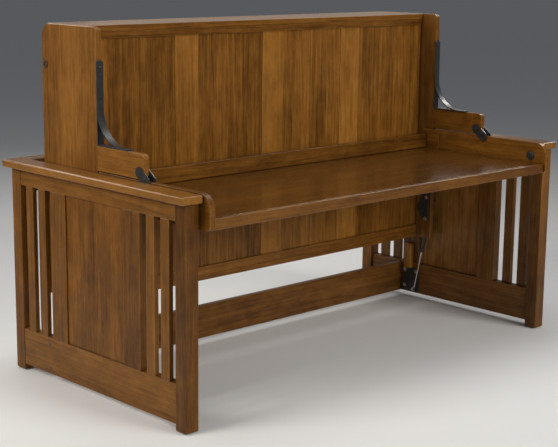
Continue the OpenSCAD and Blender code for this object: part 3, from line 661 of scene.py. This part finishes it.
def mattress():
    lo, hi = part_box("mattress")
    hx, hz = 0.9385, (hi.z - lo.z) / 2 - 0.0095
    cz = (lo.z + hi.z) / 2
    yf, yr = lo.y + 0.0085, hi.y - 0.0095          # front and rear faces before they puff up
    R = 0.050
    cell = 0.0163
    nx = int(round(2 * hx / cell / 8)) * 8
    nz = int(round(2 * hz / cell / 8)) * 8
    sides = 12

    def place(i, j):
        x = -hx + 2 * hx * i / nx
        z = -hz + 2 * hz * j / nz
        ax, az = abs(x) - (hx - R), abs(z) - (hz - R)
        if ax > 0 and az > 0:
            a, b = ax / R, az / R
            ax2, az2 = a * math.sqrt(1 - b * b / 2) * R, b * math.sqrt(1 - a * a / 2) * R
            x = math.copysign(hx - R + ax2, x); z = math.copysign(hz - R + az2, z)
        return x, z

    def rim(x, z):
        """Distance to the outer edge."""
        ax, az = abs(x) - (hx - R), abs(z) - (hz - R)
        if ax > 0 and az > 0:
            return R - math.hypot(ax, az)
        return min(hx - abs(x), hz - abs(z))

    bm = bmesh.new()
    grid = {}
    pins = {}
    for face, y0, sgn in ((0, yf, -1), (1, yr, 1)):
        for i in range(nx + 1):
            for j in range(nz + 1):
                x, z = place(i, j)
                e = soft_step(rim(x, z) / 0.055)
                drop = 0.0050 * e if ((i + j) % 8 == 0 or (i - j) % 8 == 0) else 0.0
                grid[face, i, j] = bm.verts.new((x, y0 - sgn * (0.0085 * (1 - e) + drop), z + cz))
    loop = [(i, 0) for i in range(nx)] + [(nx, j) for j in range(nz)] + [(i, nz) for i in range(nx, 0, -1)] + [(0, j) for j in range(nz, 0, -1)]
    wall = {}
    for k in range(1, sides):
        t = k / sides
        for n, (i, j) in enumerate(loop):
            a, b = grid[0, i, j].co, grid[1, i, j].co
            p = a.lerp(b, t)
            c = Vector((p.x, 0, p.z - cz))
            ax, az = max(0.0, abs(c.x) - (hx - R)), max(0.0, abs(c.z) - (hz - R))
            out = Vector((math.copysign(ax, c.x), 0, math.copysign(az, c.z)))
            if ax == 0 and az == 0:
                out = Vector((0, 0, 0))
            if out.length < 1e-6:
                out = Vector((math.copysign(1, c.x), 0, 0)) if hx - abs(c.x) < hz - abs(c.z) else Vector((0, 0, math.copysign(1, c.z)))
            out.normalize()
            wall[k, n] = bm.verts.new(p + out * 0.0030 * math.sin(math.pi * t) ** 0.7)
    for i in range(nx):
        for j in range(nz):
            bm.faces.new((grid[0, i, j], grid[0, i + 1, j], grid[0, i + 1, j + 1], grid[0, i, j + 1]))
            bm.faces.new((grid[1, i, j], grid[1, i, j + 1], grid[1, i + 1, j + 1], grid[1, i + 1, j]))
    L = len(loop)
    for n in range(L):
        m = (n + 1) % L
        col = lambda k, q: grid[0, *loop[q]] if k == 0 else grid[1, *loop[q]] if k == sides else wall[k, q]
        for k in range(sides):
            bm.faces.new((col(k, n), col(k + 1, n), col(k + 1, m), col(k, m)))
    bm.verts.index_update()
    stitched, lines = [], []
    for face in (0, 1):
        for i in range(nx + 1):
            for j in range(nz + 1):
                on = (i + j) % 8 == 0 or (i - j) % 8 == 0
                if i in (0, nx) or j in (0, nz) or on:
                    stitched.append(grid[face, i, j].index)
        for fam in (1, -1):
            for c0 in range(-nz, nx + nz + 1):
                if c0 % 8:
                    continue
                run = [grid[face, i, (c0 - i) if fam == 1 else (i - c0)].index for i in range(nx + 1)
                       if 0 <= ((c0 - i) if fam == 1 else (i - c0)) <= nz]
                if len(run) > 4:
                    lines.append((face, run))
    rims = [[grid[f, i, j].index for i, j in loop] for f in (0, 1)]
    walls = [wall[k, n].index for k in (1, sides - 1) for n in range(L)]
    bmesh.ops.recalc_face_normals(bm, faces=bm.faces)
    me = bpy.data.meshes.new("mattress_pad"); bm.to_mesh(me)
    bm.free()
    obj = bpy.data.objects.new("mattress_pad", me)
    scene.collection.objects.link(obj)
    rest = [v.co.copy() for v in me.vertices]
    g = obj.vertex_groups.new(name="pin")
    g.add(stitched, 1.0, "REPLACE")
    g.add(walls, 0.6, "REPLACE")
    m = obj.modifiers.new("cloth", "CLOTH")
    st = m.settings
    st.quality = 5
    st.mass = 0.25
    st.use_pressure = True
    st.uniform_pressure_force = 13.0
    st.tension_stiffness = 8; st.compression_stiffness = 8; st.shear_stiffness = 3; st.bending_stiffness = 0.2
    st.vertex_group_mass = "pin"
    st.pin_stiffness = 1.0
    st.effector_weights.gravity = 0.0
    m.collision_settings.use_collision = False
    m.point_cache.frame_start = 1; m.point_cache.frame_end = 20
    for f in range(1, 21):
        scene.frame_set(f)
    dg = bpy.context.evaluated_depsgraph_get()
    ev = obj.evaluated_get(dg)
    got = [v.co.copy() for v in ev.data.vertices]
    obj.modifiers.remove(m)
    obj.vertex_groups.clear()
    scene.frame_set(1)
    cap = 0.0085
    for v, a, b in zip(me.vertices, rest, got):
        d = b - a
        n = d.length
        if n > 1e-9:
            d *= cap * math.tanh(n / cap) / n
        v.co = a + d
    print("mattress cloth: most moved", max((b - a).length for a, b in zip(rest, got)))
    me.update()
    sub = obj.modifiers.new("sub", "SUBSURF"); sub.levels = 1; sub.render_levels = 1
    dg = bpy.context.evaluated_depsgraph_get()
    final = bpy.data.meshes.new_from_object(obj.evaluated_get(dg))
    obj.modifiers.clear()
    obj.data = final
    final.shade_smooth()
    final.materials.clear(); final.materials.append(MATS["ticking"])
    # the settled pad fills the depth between the boards and the straps
    lo = min(v.co.y for v in final.vertices); hi = max(v.co.y for v in final.vertices)
    for v in final.vertices:
        v.co.y = 0.1813 + (v.co.y - lo) / (hi - lo) * 0.1985
    final.update()
    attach(obj, "bed"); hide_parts("mattress")
    co = [v.co.copy() for v in final.vertices]
    normals = [v.normal.copy() for v in final.vertices]

    # taped edges round both faces
    bm = bmesh.new()
    seg = 10
    info = []
    for f, run in enumerate(rims):
        pts = [co[k] for k in run]
        n = len(pts)
        prev = None
        first = None
        s = 0.0
        for q in range(n + 1):
            k = q % n
            p = pts[k]
            tan = (pts[(k + 1) % n] - pts[k - 1]).normalized()
            side = Vector((0, 1, 0))
            out = tan.cross(side).normalized()
            mid = Vector((p.x, 0, p.z - cz))
            if out.dot(mid) < 0:
                out = -out
            ring = []
            for a in range(seg):
                t = 2 * math.pi * a / seg
                ring.append(p + out * (0.0042 * math.cos(t) + 0.0002) + side * 0.0052 * math.sin(t))
            if q:
                s += (p - pts[k - 1]).length
            if q == n:
                cur = first
            else:
                cur = [bm.verts.new(w) for w in ring]
                info += [c for a in range(seg) for c in (0.0105 * a / seg, 0.0, s)]
            if first is None:
                first = cur
            if prev is not None:
                for a in range(seg):
                    b = (a + 1) % seg
                    bm.faces.new((prev[a], prev[b], cur[b], cur[a]))
            prev = cur
    tape = new_piece("mattress_tape", bm, "bed", "tape", 80)
    at = tape.data.attributes.new("grain", "FLOAT_VECTOR", "POINT")
    at.data.foreach_set("vector", info)

    # quilting thread in the valleys
    bm = bmesh.new()
    for face, run in lines:
        pts = [co[k] + normals[k] * 0.0002 for k in run]
        prev = None
        for q, p in enumerate(pts):
            tan = (pts[min(q + 1, len(pts) - 1)] - pts[max(q - 1, 0)]).normalized()
            n = normals[run[q]]
            u = tan.cross(n).normalized()
            cur = [bm.verts.new(p + (u * math.cos(a) + n * math.sin(a)) * 0.0007) for a in (0.5, 2.6, 4.7)]
            if prev:
                for a in range(3):
                    b = (a + 1) % 3
                    bm.faces.new((prev[a], prev[b], cur[b], cur[a]))
            else:
                bm.faces.new(tuple(reversed(cur)))
            prev = cur
        bm.faces.new(tuple(prev))
    thread = new_piece("mattress_thread", bm, "bed", "thread", 80)
    return obj

pad = mattress()

# ---- straps ------------------------------------------------------------------------------------
def straps():
    lo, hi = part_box("mattress_straps")
    w, th = 0.050, 0.0016
    y0 = (lo.y + hi.y) / 2
    bm = bmesh.new()
    info = []
    zb, zt = lo.z, hi.z
    path = [(y0 + 0.026, zb + 0.0010), (y0 + 0.018, zb + 0.0010), (y0 + 0.009, zb + 0.0012), (y0 + 0.0035, zb + 0.0028), (y0 + 0.0010, zb + 0.0065),
            (y0 + 0.0002, zb + 0.014)]
    n = 56
    for k in range(1, n):
        t = k / n
        z = zb + 0.014 + (zt - zb - 0.028) * t
        path.append((y0 - 0.0006 * math.sin(math.pi * t) + 0.0004 * math.cos(2 * math.pi * (z - 0.361) / 0.13), z))
    path += [(y0 + 0.0002, zt - 0.014), (y0 + 0.0010, zt - 0.0065), (y0 + 0.0035, zt - 0.0028), (y0 + 0.009, zt - 0.0012), (y0 + 0.018, zt - 0.0010), (y0 + 0.026, zt - 0.0010)]
    cross = [(-0.5, -0.35), (-0.485, 0.5), (-0.30, 0.42), (0.0, 0.5), (0.30, 0.42), (0.485, 0.5), (0.5, -0.35), (0.485, -0.5), (0.0, -0.5), (-0.485, -0.5)]
    for xm in (-0.480, 0.480):
        prev = None
        s = 0.0
        for q, (y, z) in enumerate(path):
            a = path[max(q - 1, 0)]; b = path[min(q + 1, len(path) - 1)]
            ty, tz = b[0] - a[0], b[1] - a[1]
            l = math.hypot(ty, tz); ty /= l; tz /= l
            ny, nz_ = tz, -ty                      # square to the path, towards the rear
            if q:
                s += math.hypot(y - path[q - 1][0], z - path[q - 1][1])
            cur = []
            for cx, cn in cross:
                cur.append(bm.verts.new((xm + cx * w, y + ny * cn * th, z + nz_ * cn * th)))
                info.append((cx * w + 0.5, cn * th, s))
            if prev:
                for k in range(len(cross)):
                    m = (k + 1) % len(cross)
                    bm.faces.new((prev[k], prev[m], cur[m], cur[k]))
            else:
                bm.faces.new(tuple(reversed(cur)))
            prev = cur
        bm.faces.new(tuple(prev))
    obj = new_piece("straps", bm, "bed", "webbing", 60, nodes=("mattress_straps",))
    at = obj.data.attributes.new("grain", "FLOAT_VECTOR", "POINT")
    at.data.foreach_set("vector", [c for v in info for c in v])
    # three-bar slides on the straps and the plates that hold their ends
    bm = bmesh.new()
    for xm in (-0.480, 0.480):
        zc, yy = 0.960, y0 + 0.0030
        for dz in (-0.016, 0.0, 0.016):
            block(bm, (xm - 0.031, yy - 0.0018, zc + dz - 0.0026), (xm + 0.031, yy + 0.0018, zc + dz + 0.0026), 0.0009)
        for sx in (-1, 1):
            block(bm, (xm + sx * 0.0285 - 0.0030, yy - 0.0020, zc - 0.0190), (xm + sx * 0.0285 + 0.0030, yy + 0.0020, zc + 0.0190), 0.0010)
    new_piece("strap_slides", bm, "bed", "glide", 40)
    bm = bmesh.new()
    for xm in (-0.480, 0.480):
        for z, s in ((zb + 0.0018, 1), (zt - 0.0018, -1)):
            block(bm, (xm - 0.024, y0 + 0.0075, min(z, z + s * 0.0016)), (xm + 0.024, y0 + 0.0215, max(z, z + s * 0.0016)), 0.0005)
            for dx in (-0.014, 0.014):
                screw(bm, (xm + dx, y0 + 0.0145, z + s * 0.0016), (0, 0, s), 0.0042, 0.0016)
    new_piece("strap_plates", bm, "bed", "zinc", 40)
straps()

# ---- lights and floor -------------------------------------------------------------
scene.view_settings.view_transform = "Standard"
scene.view_settings.look = "None"

def area(name, pos, target, w, h, power, colour=(1, 1, 1)):
    l = bpy.data.lights.new(name, "AREA")
    l.shape = "RECTANGLE"; l.size = w; l.size_y = h; l.energy = power; l.color = colour
    o = bpy.data.objects.new(name, l)
    o.location = pos
    o.rotation_euler = (Vector(target) - Vector(pos)).to_track_quat("-Z", "Y").to_euler()
    scene.collection.objects.link(o)
    # the large soft lights shade the faces but aren't mirrored in the lacquer; the strips are
    o.visible_glossy = name not in ("key", "front", "low")
    if name in ("key", "front"):
        l.spread = math.radians(75)
    return o
area("key", (-4.3, 0.5, 3.2), (0, 0, 0.8), 2.0, 2.0, 32, (1.0, 0.95, 0.86))
area("front", (1.2, -5.0, 2.7), (0, 0, 0.9), 3.2, 2.0, 45, (1.0, 0.97, 0.92))
area("low", (-2.3, -4.3, 0.8), (0.2, 0.2, 0.35), 3.0, 1.0, 50, (1.0, 0.97, 0.92))
area("top", (0, 0.2, 4.2), (0, 0.1, 0.5), 3.4, 2.6, 38)
def strip(name, pos, target, along, length, width, power):
    """Long narrow light that only shows as a highlight on polished edges."""
    o = area(name, pos, target, length, width, power, (1.0, 0.98, 0.94))
    z = (Vector(pos) - Vector(target)).normalized()
    x = Vector(along); x = (x - z * x.dot(z)).normalized()
    o.matrix_world = Matrix.Translation(pos) @ Matrix((x, z.cross(x), z)).transposed().to_4x4()
    o.visible_diffuse = False
strip("rim_right", (3.4, 0.25, 3.75), (0.0, -0.5, 0.8), (1.0, 0.0, -0.2), 2.6, 0.5, 115)
strip("rim_left", (-2.0, 3.2, 3.2), (-1.0, -0.2, 0.5), (1.0, 0.0, 0.0), 2.4, 0.6, 46)
area("rim_back", (0.2, 3.3, 3.2), (0, 0, 0.9), 1.8, 0.8, 28, (1.0, 0.98, 0.94))
area("back", (3.7, 3.8, 2.4), (0.2, 0.1, 1.1), 3.4, 1.7, 15, (1.0, 0.90, 0.76))
area("back_left", (-3.6, 3.4, 2.6), (0, 0.2, 0.8), 2.4, 1.8, 16)
world = bpy.data.worlds.new("studio"); scene.world = world
world.use_nodes = True
world.node_tree.nodes["Background"].inputs[0].default_value = (0.77, 0.81, 0.87, 1)
world.node_tree.nodes["Background"].inputs[1].default_value = 0.155

bm = bmesh.new(); bmesh.ops.create_grid(bm, x_segments=8, y_segments=8, size=60)
me = bpy.data.meshes.new("floor"); bm.to_mesh(me); bm.free()
floor = bpy.data.objects.new("floor", me); scene.collection.objects.link(floor)
